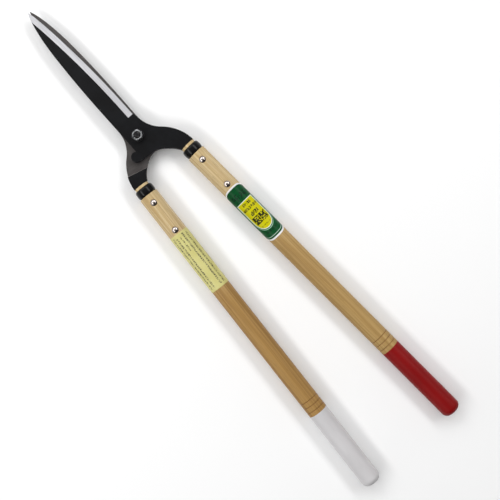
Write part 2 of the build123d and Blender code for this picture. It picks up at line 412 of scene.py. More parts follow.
def dipped(name, thin, thick, roughness):
    """Dipped paint: even colour, thin at its edge, a soft orange-peel surface and scuffs."""
    g = Graph(name)
    z = g.split(g.place)[2]
    cloud = g.noise((80, 80, 25), 4, 0.5)
    peel = g.noise(420, 2, 0.4)
    scuff = g.noise((500, 500, 180), 5, 0.7)
    colour = g.mix(g.rise(cloud, 0.3, 0.7), thin, thick)
    edge = g.rise(z, coat_start * MM + 0.0016, coat_start * MM, 0, 0.35)
    colour = g.mix(edge, colour, thin)
    g.set(Base_Color=colour, Specular_IOR_Level=0.18)
    g.set(Roughness=g.rise(scuff, 0.45, 0.72, roughness, roughness + 0.14))
    g.bump(peel, 0.06, 0.35)
    return g.material


def floor_paint():
    g = Graph("floor_paint")
    light, dark = (0.95, 0.95, 0.95, 1), (0.93, 0.93, 0.93, 1)
    g.set(Base_Color=g.mix(g.noise(3, 3, 0.5), dark, light), Specular_IOR_Level=0.1)
    g.set(Roughness=0.9)
    g.bump(g.noise(500, 3, 0.5), 0.05, 0.2)
    return g.material


def band(g, value, low, high, soft=0.12):
    """1 between low and high, 0 beyond."""
    return g.times(g.rise(value, low - soft, low + soft), g.rise(value, high + soft, high - soft))


def block(g, across, along, box, cell, spread, seed, share, origin=(0, 0)):
    """Random dark cells inside a box: print with nothing to read in it.

    box holds low, high, left and right, spread the words' pitch and how much of it they take, share how many
    cells are dark, and origin where the cells start, across and along."""
    inside_box = g.times(band(g, along, *box[:2]), band(g, across, *box[2:]))
    across = g.minus(across, origin[0])
    along = g.minus(along, origin[1])
    node = g.node("ShaderNodeTexWhiteNoise")
    node.noise_dimensions = "3D"
    column = g.math("FLOOR", g.over(across, cell[0]))
    row = g.math("FLOOR", g.over(along, cell[1]))
    g.put(node.inputs["Vector"], g.joined(column, row, seed))
    dark = g.math("LESS_THAN", node.outputs["Value"], share)
    word = g.math("LESS_THAN", g.math("FRACT", g.over(across, spread[0])), spread[1])
    return g.all_of(inside_box, dark, word)


def shield(g, across, along, half, top, bottom):
    """1 on a panel with a flat top and a rounded bottom end, half its width each side."""
    shoulder = 178
    soft = 0.2
    down = g.math("MAXIMUM", g.over(g.minus(along, shoulder), bottom - shoulder), 0)
    side = g.over(across, half)
    reach = g.math("SQRT", g.plus(g.times(down, down), g.times(side, side)))
    inside = g.rise(reach, 1 + soft / half, 1 - soft / half)
    return g.times(inside, g.rise(along, top - soft, top + soft))


def wrap_print():
    """Green label with white ends, a yellow panel with a white rim, and dummy print."""
    g = Graph("wrap_print")
    across, along = g.coordinates("print")
    from_start, from_end = g.coordinates("ends")
    fade = g.noise(150, 4, 0.6)
    colour = g.mix(fade, (0, 64, 28), (2, 79, 37))
    ghost = block(g, across, along, (136.5, 146, -11.5, 11.5), (1.1, 1.6), (5.8, 0.82), 3, 0.55)
    low_ghost = block(g, across, along, (197, 200.2, -10, 10), (0.8, 0.9), (4.4, 0.7), 5, 0.5)
    colour = g.mix(g.times(g.any_of(ghost, low_ghost), 0.85), colour, (8, 38, 24))
    colour = g.mix(band(g, from_end, 4.6, 5.2, 0.2), colour, (190, 214, 198))
    around = shield(g, across, along, 15.4, 148.9, 196.4)
    ring = g.minus(around, shield(g, across, along, 14.8, 148.9, 195.4))
    yellow = g.mix(fade, (204, 197, 0), (194, 187, 0))
    colour = g.mix(g.math("MAXIMUM", ring, 0), colour, (150, 190, 165))
    colour = g.mix(shield(g, across, along, 13.9, 149.1, 194.4), colour, (226, 234, 222))
    colour = g.mix(shield(g, across, along, 12.9, 149.9, 193.5), colour, yellow)
    # Each row's start and end along the handle, left and right, cell, block spread, share of dark cells
    rows = (
        (152, 155.6, -6.4, 6.4, (0.7, 0.9), (2.6, 0.78), 0.62),
        (158.2, 162, -11.4, 12.4, (0.8, 0.95), (3.3, 0.82), 0.62),
        (165.6, 170.8, -6.2, 6, (0.8, 1.04), (6.1, 0.93), 0.74),
        (172.8, 184, -10.2, 11.2, (1.18, 1.24), (10.8, 0.93), 0.74),
        (188.2, 189.6, -7, 7, (0.6, 0.7), (1.3, 0.6), 0.6),
    )
    marks = []
    for i, (*box, cell, spread, share) in enumerate(rows):
        marks.append(block(g, across, along, box, cell, spread, i, share, (box[2], box[0])))
    colour = g.mix(g.times(g.any_of(*marks), 0.96), colour, (14, 22, 8))
    border = g.any_of(g.rise(from_start, 2.3, 1.9), g.rise(from_end, 2.5, 2.1))
    colour = g.mix(border, colour, (226, 226, 226))
    g.set(Base_Color=colour, Specular_IOR_Level=0.13)
    g.rough(fade, 0.34, 0.44)
    g.bump(g.noise(260, 3, 0.5), 0.05, 0.35)
    return g.material


def paper_print():
    """Pale yellow paper with columns of dummy print."""
    g = Graph("paper_print")
    across, along = g.coordinates("print")
    fibres = g.noise(500, 5, 0.7)
    stain = g.noise(60, 3, 0.5)
    colour = g.mix(g.rise(stain, 0.3, 0.7), (208, 202, 132), (200, 193, 120))
    # Each column's middle, width, start and end along the handle, share of dark cells
    columns = (
        (-10.9, 2.4, 128, 207.5, 0.66),
        (-5.8, 2.4, 130.5, 206, 0.62),
        (-0.4, 1.9, 130, 152, 0.50),
        (4.5, 2.5, 127.5, 207, 0.64),
        (9.9, 2.3, 129, 206.5, 0.58),
    )
    marks = []
    for i, (middle, width, low, high, share) in enumerate(columns):
        box = (middle - width / 2, middle + width / 2, low, high)
        marks.append(block(g, along, across, box, (0.85, 0.74), (2.6, 0.8), i, share))
    colour = g.mix(g.times(g.any_of(*marks), 0.95), colour, (46, 44, 26))
    colour = g.mix(g.rise(fibres, 0.4, 0.8, 0, 0.15), colour, (178, 168, 104))
    g.set(Base_Color=colour, Specular_IOR_Level=0.4)
    g.rough(fibres, 0.45, 0.6)
    g.bump(fibres, 0.03, 0.4)
    return g.material


# ---- mesh helpers

def make_piece(name, shape, looks, body, node, sharp, layers=None, place=None, kinds=None):
    """A piece for the node, from vertices in millimetres and faces.

    layers holds named values for each vertex, kinds the number of each face's look."""
    vertices, faces = shape
    mesh = bpy.data.meshes.new(name)
    mesh.from_pydata([tuple(v) for v in np.asarray(vertices) * MM], [], [tuple(f) for f in faces])
    for look in looks:
        mesh.materials.append(look)
    if kinds is not None:
        mesh.polygons.foreach_set("material_index", np.asarray(kinds, np.int32))
    mesh.polygons.foreach_set("use_smooth", np.ones(len(mesh.polygons), bool))
    mesh.set_sharp_from_angle(angle=math.radians(sharp))
    for label, values in (layers or {}).items():
        layer = mesh.attributes.new(label, "FLOAT", "POINT")
        layer.data.foreach_set("value", np.asarray(values, np.float32))
    mesh.validate()
    mesh.update()
    piece = bpy.data.objects.new(name, mesh)
    bpy.context.scene.collection.objects.link(piece)
    if place is not None:
        piece.matrix_world = place
    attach(piece, body)
    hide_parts(node)
    return piece


def strip(low, high):
    """Faces between two closed loops of vertex numbers. Either may be a single point."""
    faces = []
    count = max(len(low), len(high))
    for k in range(count):
        n = (k + 1) % count
        quad = [low[k % len(low)], low[n % len(low)], high[n % len(high)], high[k % len(high)]]
        quad = [v for j, v in enumerate(quad) if v != quad[j - 1]]
        if len(quad) > 2:
            faces.append(quad)
    return faces


def lathe(rows, segments, radius_at=None):
    """Rows (height, radius) turned about local z. A row of radius 0 is a single point.

    radius_at(height, radius, turn) gives the distance from the axis all round, where that isn't even."""
    vertices = []
    faces = []
    rings = []
    turn = np.arange(segments) * 2 * math.pi / segments
    for height, radius in rows:
        if radius <= 0:
            rings.append([len(vertices)])
            vertices.append((0.0, 0.0, height))
            continue
        reach = np.full(segments, radius_at(height, radius, turn) if radius_at else radius)
        rings.append(list(range(len(vertices), len(vertices) + segments)))
        vertices.extend(zip(reach * np.cos(turn), reach * np.sin(turn), np.full(segments, height)))
    for low, high in zip(rings, rings[1:]):
        faces += strip(low, high)
    return np.array(vertices), faces


def arc3(start, middle, end, count):
    """Points on the circle through three points, from start up to but not including end."""
    (ax, ay), (bx, by), (cx, cy) = start, middle, end
    d = 2 * (ax * (by - cy) + bx * (cy - ay) + cx * (ay - by))
    a2, b2, c2 = ax * ax + ay * ay, bx * bx + by * by, cx * cx + cy * cy
    ux = (a2 * (by - cy) + b2 * (cy - ay) + c2 * (ay - by)) / d
    uy = (a2 * (cx - bx) + b2 * (ax - cx) + c2 * (bx - ax)) / d
    radius = math.hypot(ax - ux, ay - uy)
    first = math.atan2(ay - uy, ax - ux)
    through = (math.atan2(by - uy, bx - ux) - first) % (2 * math.pi)
    last = (math.atan2(cy - uy, cx - ux) - first) % (2 * math.pi)
    if through > last:
        last -= 2 * math.pi
    turns = [first + last * k / count for k in range(count)]
    return [(ux + radius * math.cos(t), uy + radius * math.sin(t)) for t in turns]


def straight(start, end, step):
    """Points about step apart, from start up to but not including end."""
    count = max(1, round(math.dist(start, end) / step))
    dx, dy = end[0] - start[0], end[1] - start[1]
    return [(start[0] + dx * k / count, start[1] + dy * k / count) for k in range(count)]


def fair(x, xs, ys):
    """Smooth curve through the stations."""
    slopes = np.gradient(ys, xs)
    k = np.clip(np.searchsorted(xs, x) - 1, 0, len(xs) - 2)
    h = xs[k + 1] - xs[k]
    t = (x - xs[k]) / h
    before = (2 * t**3 - 3 * t**2 + 1) * ys[k] + (t**3 - 2 * t**2 + t) * h * slopes[k]
    after = (3 * t**2 - 2 * t**3) * ys[k + 1] + (t**3 - t**2) * h * slopes[k + 1]
    return before + after


def turned_rim(low, high, inner, outer, rounding):
    """Half section of a washer, its outer edges rounded; it closes on itself."""
    turns = np.radians((0, 30, 60, 90))
    corner = [(rounding * (1 - math.cos(t)), outer - rounding * (1 - math.sin(t))) for t in turns]
    lower = [(low + rise, radius) for rise, radius in corner]
    upper = [(high - rise, radius) for rise, radius in corner[::-1]]
    return [(low, inner), *lower, *upper, (high, inner), (low, inner)]


# ---- blades

def share_of(y):
    """How far y is along the blade, 0 at its start and 1 at its tip."""
    return np.clip((np.asarray(y, float) - blade_start) / (tip_y - blade_start), 0, 1)


def back_x(y):
    """Where the blade's back edge is at y."""
    return -half_width * fair(share_of(y), shares, back_shares)


def edge_x(y):
    """Where the cutting edge is at y."""
    return half_width * fair(share_of(y), shares, edge_shares)


def handle_axis(side):
    """Where the handle's axis crosses y = 0, and its direction, in millimetres."""
    mount = mounts["red_grip_end" if side > 0 else "white_grip_end"]
    way = Vector(mount["axis"])
    place = Vector(mount["pos_m"]) / MM
    start = place - way * (place.y / way.y)
    return Vector((start.x, start.y, mid_z)), way


def blade_outline():
    """The blade with its handle at +X, anticlockwise from the tip down its back."""
    start, way = handle_axis(1)
    middle = start + way * arm_end
    side = Vector((-way.y, way.x)) * arm_half_width
    outer = (middle.x + side.x, middle.y + side.y)
    inner = (middle.x - side.x, middle.y - side.y)
    ys = [tip_y - (tip_y - blade_start) * (1 - math.cos(t)) for t in np.linspace(0, math.pi / 2, 90)]
    back = [(float(back_x(y)), y) for y in ys]
    edge = [(float(edge_x(y)), y) for y in ys[::-1]]
    lug_x, lug_y = lug_centre
    lug_top = lug_y + math.sqrt(lug_radius**2 - (lug_x + half_width) ** 2)
    under = [(x, y - crotch) for x, y in crotch_arc]
    inner_middle = (inner[0] + arm_inner_bulge[0], inner[1] + arm_inner_bulge[1])
    outer_middle = (outer[0] + arm_outer_bulge[0], outer[1] + arm_outer_bulge[1])
    heel = [(half_width + x, y) for x, y in heel_arcs]
    outline = back
    outline += straight((-half_width, blade_start - 1.5), (-half_width, lug_top), 1.5)
    outline += arc3((-half_width, lug_top), (lug_x - lug_radius, lug_y), (lug_x, lug_y - lug_radius), 26)
    outline += straight((lug_x, lug_y - lug_radius), under[0], 1.4)
    outline += arc3(*under, 16)
    outline += arc3(under[2], inner_middle, inner, 18)
    outline += straight(inner, outer, 1.6)
    outline += arc3(outer, outer_middle, heel[0], 34)
    outline += arc3(*heel[:3], 16)
    outline += arc3(*heel[2:], 14)
    outline += straight(heel[4], (half_width - 0.9, bevel_cut - 1.0), 1.5)
    outline += straight((half_width - 1.1, bevel_cut - 0.6), edge[0], 0.8)
    outline += edge
    points = [outline[0]]
    for point in outline[1:]:
        if math.dist(point, points[-1]) > closest_points:
            points.append(point)
    return points


def beyond_shoulder(x, y):
    """Distance past the line where the half lap ends, towards the handle."""
    return x * math.sin(shoulder_turn) - y * math.cos(shoulder_turn) - shoulder_radius


def past_crest(x, y):
    """Distance past the line where the ground bevel starts, towards the cutting edge."""
    return x - (edge_x(y) - bevel_width)


def top_height(x, y):
    """Upper face: flat heel, slightly hollow blade, then the ground bevel."""
    share = share_of(y)
    plate = mid_z + plate_thickness + share * (tip_thickness - plate_thickness)
    wide = np.maximum(edge_x(y) - bevel_width - back_x(y), 0.5)
    middle = np.clip((x - back_x(y)) / wide, 0, 1)
    fade = np.clip((y - 15.0) / 40.0, 0, 1) * np.clip((tip_y - 20.0 - y) / 40.0, 0, 1)
    hollow = top_hollow * np.sin(middle * math.pi) ** 2 * fade
    slope = (plate - mid_z - edge_land) / bevel_width
    bevel = np.minimum(plate, mid_z + edge_land + slope * (edge_x(y) - x))
    blend = np.clip((y - bevel_cut) / (bevel_start - bevel_cut), 0, 1)
    return plate - hollow + blend * (bevel - plate)


def bottom_height(x, y):
    """Sliding face, slightly hollow, then the slope down to the full thickness of the arm."""
    wide = edge_x(y) - back_x(y)
    middle = np.clip((x - back_x(y)) / np.maximum(wide, 0.5), 0, 1)
    fade = np.clip((y - 32.0) / 12.0, 0, 1) * np.clip((tip_y - 10.0 - y) / 30.0, 0, 1)
    hollow = sliding_hollow * np.clip(np.sin(middle * math.pi) * 1.6 - 0.35, 0, 1) * fade
    down = np.clip(beyond_shoulder(x, y) / shoulder_slope, 0, 1)
    return mate_z + hollow - down * (plate_thickness + mate_z - mid_z)


def add_crossings(points, measure, level, direction, where):
    """Puts a point wherever the outline crosses measure = level, to be inset along direction if it has one.

    Other points that are nearly on these are dropped."""
    result = []
    for k, point in enumerate(points):
        after = points[(k + 1) % len(points)]
        result.append(point)
        a = float(measure(point[0], point[1])) - level
        b = float(measure(after[0], after[1])) - level
        if (a * b < 0 or a == 0) and where(point):
            t = a / (a - b)
            x = point[0] + (after[0] - point[0]) * t
            y = point[1] + (after[1] - point[1]) * t
            result.append((x, y, direction))
    marked = [p[:2] for p in result if len(p) == 3]
    return [p for p in result if len(p) == 3 or min(math.dist(p, m) for m in marked) > closest_points]


def inward(points):
    """The outline's places, and at each a step into it, along the crossing direction where it has one."""
    places = np.array([p[:2] for p in points])
    ahead = np.roll(places, -1, axis=0) - places
    ahead /= np.linalg.norm(ahead, axis=1)[:, None]
    normals = np.stack([-ahead[:, 1], ahead[:, 0]], axis=1)
    mean = normals + np.roll(normals, 1, axis=0)
    mean /= np.linalg.norm(mean, axis=1)[:, None]
    for k, point in enumerate(points):
        if len(point) == 3 and point[2]:
            way = np.array(point[2], float)
            lean = float(way @ mean[k])
            mean[k] = way / (lean if abs(lean) > 0.3 else math.copysign(0.3, lean))
    return places, mean


def inside(points, loop):
    """Which points lie in the closed loop."""
    x, y = points[:, 0][:, None], points[:, 1][:, None]
    ax, ay = loop[:, 0], loop[:, 1]
    bx, by = np.roll(ax, -1), np.roll(ay, -1)
    level = np.where(by == ay, 1e-12, by - ay)
    crossing = ((ay > y) != (by > y)) & (x < (bx - ax) * (y - ay) / level + ax)
    return crossing.sum(axis=1) % 2 == 1


def near_polyline(points, line, closed):
    """Distance of each point from a polyline."""
    a = line if closed else line[:-1]
    b = np.roll(line, -1, axis=0) if closed else line[1:]
    d = b - a
    t = ((points[:, None, :] - a) * d).sum(2) / np.maximum((d * d).sum(1), 1e-12)
    closest = a + np.clip(t, 0, 1)[:, :, None] * d
    return np.linalg.norm(points[:, None, :] - closest, axis=2).min(axis=1)


def fill(loop, hole, lines):
    """Triangles inside the loop and outside the hole, with the lines as edges.

    Each line has the indices of the loop's points that it starts and ends on, or None. Returns the points,
    the number each had among the points put in, loop first and then hole, and the faces."""
    low, high = loop.min(0), loop.max(0)
    grid = []
    for row, y in enumerate(np.arange(low[1], high[1], grid_step * 0.866)):
        for x in np.arange(low[0] + (row % 2) * grid_step / 2, high[0], grid_step):
            grid.append((x, y))
    grid = np.array(grid)
    clear = grid_step * 0.45
    grid = grid[inside(grid, loop)]
    grid = grid[near_polyline(grid, loop, True) > clear]
    grid = grid[near_polyline(grid, hole, True) > clear]
    grid = grid[np.linalg.norm(grid, axis=1) > hole_radius]
    edges = [(k, (k + 1) % len(loop)) for k in range(len(loop))]
    base = len(loop)
    edges += [(base + k, base + (k + 1) % len(hole)) for k in range(len(hole))]
    points = [*loop, *hole]
    for ends, line in lines:
        first = line[0] if ends[0] is None else loop[ends[0]]
        last = line[-1] if ends[1] is None else loop[ends[1]]
        whole = np.array([first, *line, last])
        grid = grid[near_polyline(grid, whole, False) > clear]
        chain = list(range(len(points), len(points) + len(line)))
        points += [np.array(p) for p in line]
        chain = [k for k in (ends[0], *chain, ends[1]) if k is not None]
        edges += list(zip(chain, chain[1:]))
    points += list(grid)
    out = delaunay_2d_cdt([Vector(p) for p in points], edges, [], 0, 1e-5, True)
    places = np.array([tuple(v) for v in out[0]])
    source = [min(ids) if ids else None for ids in out[3]]
    centres = np.array([places[list(f)].mean(axis=0) for f in out[2]])
    keep = inside(centres, loop) & ~inside(centres, hole)
    faces = [f for f, k in zip(out[2], keep) if k]
    return places, source, faces


def line_ends(points, values, level):
    """Indices of the outline points put in at that level."""
    return [k for k, p in enumerate(points) if len(p) == 3 and abs(values[k] - level) < 1e-4]


def marked_outline():
    """The outline with a point wherever a line of the top or bottom face meets it."""
    points = blade_outline()
    for level in (bevel_cut, bevel_start):
        points = add_crossings(points, lambda x, y: y, level, (-1.0, 0.0), lambda p: p[0] > 0)
    points = add_crossings(points, past_crest, 0.0, None, lambda p: p[0] < 0 and p[1] > 150)
    along_shoulder = (math.cos(shoulder_turn), math.sin(shoulder_turn))
    for level in (0.0, shoulder_slope):
        points = add_crossings(points, beyond_shoulder, level, along_shoulder, lambda p: p[1] < 0)
    return points


def face_kinds(vertices, faces):
    """Each face's finish: 0 forged and blackened, 1 ground edge, 2 sliding face, 3 slope of the shoulder."""
    centres = np.array([vertices[list(f)].mean(axis=0) for f in faces])
    x, y, z = centres.T
    kinds = np.zeros(len(faces), int)
    kinds[(y > bevel_cut) & (past_crest(x, y) > 0)] = 1
    within_rounding = 0.32
    under = z < bottom_height(x, y) + within_rounding
    below = beyond_shoulder(x, y)
    kinds[under & (below < 0)] = 2
    kinds[under & (below >= 0) & (below < shoulder_slope) & (z < mate_z - 0.3)] = 3
    return list(kinds)


def blade_mesh():
    """One forging with its handle at +X: vertices, faces, each face's finish and each vertex's wear."""
    points = marked_outline()
    places, steps = inward(points)
    x, y = places[:, 0], places[:, 1]
    narrow = np.clip((tip_y - y) / 16.0, 0.12, 1)
    on_edge = (y > bevel_cut - 0.01) & (x > (back_x(y) + edge_x(y)) / 2)
    top_round = np.where(on_edge, edge_rounding[0], top_rounding * narrow)
    bottom_round = np.where(on_edge, edge_rounding[1], bottom_rounding * narrow)
    margin = np.where(on_edge | (narrow < 0.6), 0.1, 0.25)
    count = len(points)
    vertices = []
    wear = []
    turns = np.radians((0, 22.5, 45, 67.5, 90))

    def rings(rounding, height, way):
        """Loops from the side up or down round the corner, and one further in on the face."""
        inner = places + steps * (rounding + margin)[:, None]
        level = height(inner[:, 0], inner[:, 1])
        made = []
        for t in turns:
            at = places + steps * (rounding * (1 - math.cos(t)))[:, None]
            z = level - way * rounding * (1 - math.sin(t))
            made.append(range(len(vertices), len(vertices) + count))
            vertices.extend(np.column_stack([at, z]))
            wear.extend([1.0] * count)
        made.append(range(len(vertices), len(vertices) + count))
        vertices.extend(np.column_stack([inner, level]))
        wear.extend([0.0] * count)
        return made, inner

    top, top_loop = rings(top_round, top_height, 1)
    bottom, bottom_loop = rings(bottom_round, bottom_height, -1)
    loops = [*bottom[::-1], *top]
    faces = [face for low, high in zip(loops, loops[1:]) for face in strip(low, high)]

    hole_sides = 40
    spin = np.arange(hole_sides) * 2 * math.pi / hole_sides
    hole = np.column_stack([np.cos(spin), np.sin(spin)]) * hole_radius
    crest_y = np.append(bevel_start, np.arange(28.0, 187.0, grid_step))
    crest_end = [k for k, p in enumerate(points) if len(p) == 3 and p[2] is None]
    first = line_ends(points, y, bevel_cut)
    second = line_ends(points, y, bevel_start)
    corner = (float(edge_x(bevel_cut)) - bevel_width, bevel_cut)
    crest = [corner] + [(float(edge_x(v)) - bevel_width, v) for v in crest_y]
    top_lines = [
        ((first[-1], None), straight((top_loop[first[-1]][0] - 2.5, bevel_cut), corner, grid_step)),
        ((second[-1], None), straight((top_loop[second[-1]][0] - 2.5, bevel_start), crest[1], grid_step)),
        ((None, crest_end[0]), crest),
    ]
    level = beyond_shoulder(x, y)
    bottom_lines = []
    for value in (0.0, shoulder_slope):
        ends = line_ends(points, level, value)
        a, b = bottom_loop[ends[0]], bottom_loop[ends[-1]]
        bottom_lines.append(((ends[0], ends[-1]), straight(a, b, 2.0)[1:]))

    hole_rings = []
    for loop, ring, lines, height, flip in (
        (top_loop, top[-1], top_lines, top_height, False),
        (bottom_loop, bottom[-1], bottom_lines, bottom_height, True),
    ):
        flat, source, made = fill(loop, hole, lines)
        index = {k: ring[n] for k, n in enumerate(source) if n is not None and n < count}
        used = sorted({v for f in made for v in f})
        hole_ring = [None] * len(hole)
        for k in used:
            if k not in index:
                index[k] = len(vertices)
                z = float(height(flat[k][0], flat[k][1]))
                vertices.append((flat[k][0], flat[k][1], z))
                wear.append(0.0)
            if source[k] is not None and count <= source[k] < count + len(hole):
                hole_ring[source[k] - count] = index[k]
        hole_rings.append(hole_ring)
        for f in made:
            f = [index[v] for v in f]
            a, b, c = (np.array(vertices[v][:2]) for v in f[:3])
            up = (b[0] - a[0]) * (c[1] - a[1]) - (b[1] - a[1]) * (c[0] - a[0]) > 0
            faces.append(f if up != flip else f[::-1])
    faces += strip(*hole_rings)

    vertices = np.array([tuple(v) for v in vertices])
    tang_vertices, tang_faces = tang_mesh(len(vertices))
    kinds = face_kinds(vertices, faces) + [0] * len(tang_faces)
    wear += [0.0] * len(tang_vertices)
    return np.vstack([vertices, tang_vertices]), faces + tang_faces, kinds, wear


def tang_mesh(base):
    """Tapered tang, hidden in the wood, with its corners eased."""
    start, way = handle_axis(1)
    across = Vector((-way.y, way.x, 0))
    vertices = []
    corners = ((-1, -0.8), (-0.9, -1), (0.9, -1), (1, -0.8), (1, 0.8), (0.9, 1), (-0.9, 1), (-1, 0.8))
    for along, half, tall in tang_sections:
        middle = start + way * along
        vertices += [tuple(middle + across * (s * half) + Vector((0, 0, t * tall))) for s, t in corners]
    loops = [range(k, k + 8) for k in range(base, base + len(vertices), 8)]
    faces = [tuple(loops[0][::-1]), tuple(loops[-1])]
    for low, high in zip(loops, loops[1:]):
        faces += strip(low, high)
    return vertices, faces


def add_blades():
    """The same forging twice, the second turned over."""
    looks = (
        black_oxide(),
        ground_edge(),
        ground_flat("ground_flat", (72, 68, 67), (56, 52, 51), (88, 84, 82)),
        ground_flat("ground_slope", (128, 124, 122), (108, 104, 102), (140, 137, 135)),
    )
    vertices, faces, kinds, wear = blade_mesh()
    turned = vertices * (-1, 1, -1) + (0, 0, 2 * mid_z)
    layers = {"wear": wear}
    for side, places in (("upper", vertices), ("lower", turned)):
        name = "forged_blade_" + side
        body, node = side + "_half", side + "_blade"
        make_piece(name, (places, faces), looks, body, node, 30.0, layers, kinds=kinds)


# ---- pivot

def hex_reach(turn):
    """Distance from the axis to the hexagon's side, its corners a little eased."""
    local = (turn - hex_turn + math.pi / 6) % (math.pi / 3) - math.pi / 6
    return np.minimum(hex_half_flats / np.cos(local), hex_half_flats * 1.147)


def soft_min(a, b, power=24.0):
    """The smaller of two, with a soft change between them."""
    return (a ** -power + b ** -power) ** (-1 / power)


def nut_reach(height, radius, turn):
    """The nut's hexagon, cut back by a cone at each end."""
    if radius < hex_corner:
        return radius
    high = 5.75 + (nut_high - height) * 1.9
    low = 6.6 + (height - nut_low) * 1.6
    return soft_min(hex_reach(turn), np.minimum(high, low))


def bolt_reach(height, radius, turn):
    """The head's hexagon with a cone underneath, a plain shank, and a thread above the upper washer."""
    if height <= head_top + 0.001:
        if radius < hex_corner:
            return radius
        cone = 6.35 + height * 1.6
        return soft_min(hex_reach(turn), cone)
    if height < washer_high or radius < 2.6:
        return radius
    phase = (height / thread_pitch - turn / (2 * math.pi)) % 1
    depth = thread_depth * np.clip(1.25 - 2.5 * np.abs(phase - 0.5), 0, 1)
    return np.minimum(radius, shank_radius - 0.02 - depth)


def add_nut():
    from_low = (0.0, 0.2, 0.45, 0.7, 1.0, 2.5)
    from_high = (2.5, 1.5, 1.2, 0.95, 0.75, 0.55, 0.35, 0.18, 0.05, 0.0)
    countersink = ((0.0, 5.1), (0.02, 4.75), (0.2, 4.45), (0.65, bore_radius))    # depth, radius
    rows = [(nut_low, bore_radius)]
    rows += [(nut_low + rise, hex_corner) for rise in from_low]
    rows += [(nut_high - fall, hex_corner) for fall in from_high]
    rows += [(nut_high - fall, radius) for fall, radius in countersink]
    rows += [(nut_low, bore_radius)]
    vertices, faces = lathe(rows, 144, nut_reach)
    near_top = np.clip(1 - (nut_high - vertices[:, 2]) / 1.4, 0, 1)
    layers = {"wear": near_top}
    steel = nut_steel()
    make_piece("hex_nut", (vertices, faces), (steel,), "lower_half", "pivot_nut", 32.0, layers)


def add_bolt(steel):
    head = (0.0, 0.02, 0.15, 0.3, 0.5, 0.75, 1.0, 1.4, 3.0, head_top - 0.3, head_top)
    thread = np.arange(washer_high + 0.1, bolt_top - 0.85, thread_pitch / 10)
    # The bolt's end, as depth below the top and radius
    point = ((0.8, 3.95), (0.6, 3.75), (0.4, 3.55), (0.2, 3.35), (0.06, 3.2), (0.0, 2.9))
    point += ((0.0, 2.5), (0.0, 1.6), (0.04, 1.0), (0.14, 0.5), (0.16, 0))
    rows = [(0.0, 0), (0.0, 3.0), (0.0, 5.0)]
    rows += [(height, hex_corner) for height in head]
    rows += [(head_top + 0.002, shank_radius), (washer_high - 0.1, shank_radius)]
    rows += [(height, shank_radius) for height in thread]
    rows += [(bolt_top - fall, radius) for fall, radius in point]
    vertices, faces = lathe(rows, 120, bolt_reach)
    reach = np.hypot(vertices[:, 0], vertices[:, 1])
    worn = ((vertices[:, 2] > bolt_top - 0.5) & (reach > 2.4)) | ((vertices[:, 2] < 1.2) & (reach > 5.9))
    layers = {"wear": worn * 1.0}
    shape = (vertices, faces)
    make_piece("hex_bolt", shape, (steel,), "lower_half", "pivot_bolt", 32.0, layers)


def add_washers(steel):
    for name, node, low, high in (
        ("washer_under_nut", "nut_washer", washer_low, washer_high),
        ("washer_over_head", "head_washer", head_top, head_washer_top),
    ):
        rim = turned_rim(low, high, bore_radius, washer_radius, washer_rounding)
        vertices, faces = lathe(rim, 96)
        layers = {"wear": (np.hypot(vertices[:, 0], vertices[:, 1]) > washer_radius - 0.5) * 0.5}
        make_piece(name, (vertices, faces), (steel,), "lower_half", node, 40.0, layers)


# ---- handles

def handle_matrix(side):
    """Local z runs along the handle, local x across it towards +X, local y up."""
    start, way = handle_axis(side)
    across = Vector((-way.y, way.x, 0))
    up = way.cross(across)
    basis = Matrix((across, up, way)).transposed().to_4x4()
    return Matrix.Translation(start * MM) @ basis


def half_name(side):
    return "upper_half" if side > 0 else "lower_half"


def round_end(end, radius, angles):
    """Rows round the corner at a handle's end."""
    cut = end_rounding
    turns = np.radians(angles)
    return [(end - cut * (1 - math.sin(t)), radius - cut * (1 - math.cos(t))) for t in turns]


